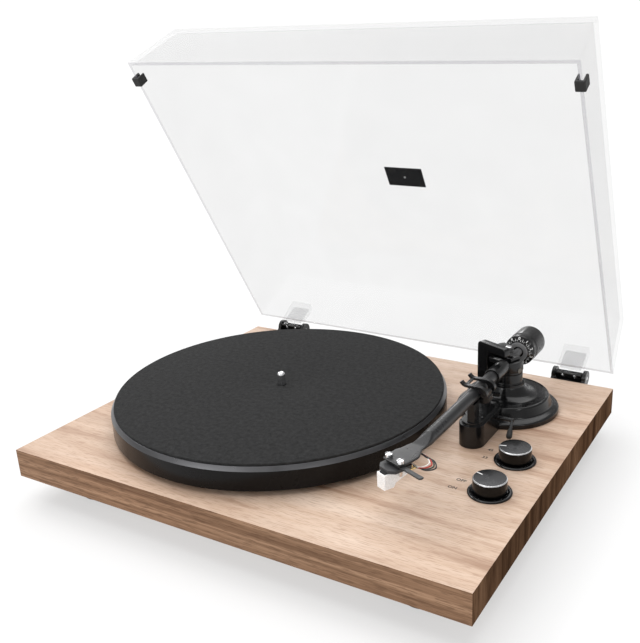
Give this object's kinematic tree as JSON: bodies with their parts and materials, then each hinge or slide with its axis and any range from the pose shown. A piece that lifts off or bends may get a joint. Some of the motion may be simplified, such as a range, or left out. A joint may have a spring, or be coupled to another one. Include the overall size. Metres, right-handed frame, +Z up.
{
  "type": "turntable_record_player",
  "caption": "Belt-drive record player: walnut plinth, metal platter with a felt mat, gimbal tonearm with cartridge and counterweight, two knobs and a clear hinged lid that stands open",
  "frame": {"origin": "On the floor, under the middle of the object's box, as it stands with its lid open", "axes": "+X to the right seen from the front, +Y to the rear, +Z up"},
  "size_m": [0.421, 0.4012, 0.3811],
  "materials": {
    "walnut": "satin walnut veneer",
    "black_plastic": "satin black",
    "black_metal": "satin black anodised",
    "gloss_black": "gloss black",
    "dark_metal": "dark turned metal",
    "platter_metal": "dark satin metal with a bright edge",
    "felt": "dark grey felt",
    "rubber": "black rubber",
    "steel": "bright",
    "brass": "turned",
    "white_plastic": "off-white",
    "green_board": "green circuit board",
    "clear_acrylic": "clear, polished"
  },
  "bodies": {
    "base": {"plinth": "walnut", "bottom_cover": "black_plastic", "foot_front_left": "rubber", "foot_front_right": "rubber", "foot_rear_left": "rubber", "foot_rear_right": "rubber", "main_bearing": "brass", "motor": "steel", "drive_belt": "rubber", "circuit_board": "green_board", "socket_plate": "black_plastic", "phono_socket_left": "white_plastic", "phono_socket_right": "brass", "ground_terminal": "steel", "power_inlet": "black_plastic", "speed_bezel": "gloss_black", "start_bezel": "gloss_black", "speed_switch": "black_plastic", "start_switch": "black_plastic", "arm_base": "black_plastic", "arm_pillar": "black_metal", "lift_housing": "black_plastic", "arm_rest": "black_plastic", "hinge_bracket_left": "black_plastic", "hinge_bracket_right": "black_plastic", "hinge_pin_left": "steel", "hinge_pin_right": "steel"},
    "platter": {"spindle": "steel", "sub_platter": "black_plastic", "platter": "platter_metal", "felt_mat": "felt"},
    "pulley": {"motor_pulley": "brass"},
    "speed_control": {"speed_knob": "dark_metal"},
    "start_control": {"start_knob": "dark_metal"},
    "yoke": {"bearing_yoke": "black_metal", "gimbal_frame": "black_metal", "bearing_screw": "steel", "pivot_screw": "steel"},
    "arm": {"arm_hub": "black_metal", "arm_tube": "black_metal", "headshell": "black_metal", "finger_lift": "black_metal", "cartridge_body": "black_plastic", "cartridge_screw_left": "steel", "cartridge_screw_right": "steel", "cartridge_leads": "rubber"},
    "guard": {"stylus_guard": "white_plastic"},
    "weight": {"counterweight": "black_metal"},
    "dial": {"tracking_dial": "black_plastic"},
    "clip": {"rest_clip": "black_plastic"},
    "lever": {"cue_lever": "black_plastic"},
    "lift": {"lift_platform": "black_plastic"},
    "lid": {"lid": "clear_acrylic", "lid_sleeve_left": "clear_acrylic", "lid_sleeve_right": "clear_acrylic", "hinge_leaf_left": "black_plastic", "hinge_leaf_right": "black_plastic", "bumper_left": "rubber", "bumper_right": "rubber", "lid_badge": "gloss_black"}
  },
  "joints": [
    {"name": "platter_spin", "type": "hinge", "parent": "base", "child": "platter", "pos_m": [-0.0482, -0.03608, 0.06], "axis": [0, 0, 1], "continuous": true},
    {"name": "pulley_spin", "type": "hinge", "parent": "base", "child": "pulley", "pos_m": [-0.12457, 0.04029, 0.06], "axis": [0, 0, 1], "continuous": true},
    {"name": "speed_knob_turn", "type": "hinge", "parent": "base", "child": "speed_control", "pos_m": [0.175, -0.03158, 0.056], "axis": [0, 0, -1], "range_deg": [0, 30]},
    {"name": "start_knob_turn", "type": "hinge", "parent": "base", "child": "start_control", "pos_m": [0.175, -0.08558, 0.056], "axis": [0, 0, 1], "range_deg": [0, 30]},
    {"name": "arm_swing", "type": "hinge", "parent": "base", "child": "yoke", "pos_m": [0.134, 0.05892, 0.0925], "axis": [0, 0, -1], "range_deg": [0, 46]},
    {"name": "arm_lift", "type": "hinge", "parent": "yoke", "child": "arm", "pos_m": [0.134, 0.05892, 0.0925], "axis": [-0.9272, 0.3746, 0], "range_deg": [0, 12]},
    {"name": "weight_travel", "type": "slide", "parent": "arm", "child": "weight", "axis": [0, 1, 0], "range_m": [-0.006, 0.001]},
    {"name": "dial_turn", "type": "hinge", "parent": "weight", "child": "dial", "pos_m": [0.134, 0.08942, 0.0925], "axis": [0, 1, 0], "range_deg": [-180, 180]},
    {"name": "guard_slide", "type": "slide", "parent": "arm", "child": "guard", "axis": [-0.3907, -0.9205, 0], "range_m": [0, 0.016]},
    {"name": "rest_clip_turn", "type": "hinge", "parent": "base", "child": "clip", "pos_m": [0.1435, -0.01233, 0.094], "axis": [0, 1, 0], "range_deg": [0, 120]},
    {"name": "cue_lever_turn", "type": "hinge", "parent": "base", "child": "lever", "pos_m": [0.15, 0.00692, 0.062], "axis": [-1, 0, 0], "range_deg": [0, 60]},
    {"name": "lift_travel", "type": "slide", "parent": "base", "child": "lift", "axis": [0, 0, 1], "range_m": [0, 0.006]},
    {"name": "lid_hinge", "type": "hinge", "parent": "base", "child": "lid", "pos_m": [0, 0.15042, 0.0484], "axis": [-1, 0, 0], "range_deg": [-60.6, 4.4]}
  ],
  "couplings": [
    {"joint": "pulley_spin", "follows": "platter_spin", "ratio": 8},
    {"joint": "rest_clip_turn", "follows": "arm_lift", "ratio": 10},
    {"joint": "cue_lever_turn", "follows": "lift_travel", "rad_per_m": 174.53}
  ]
}
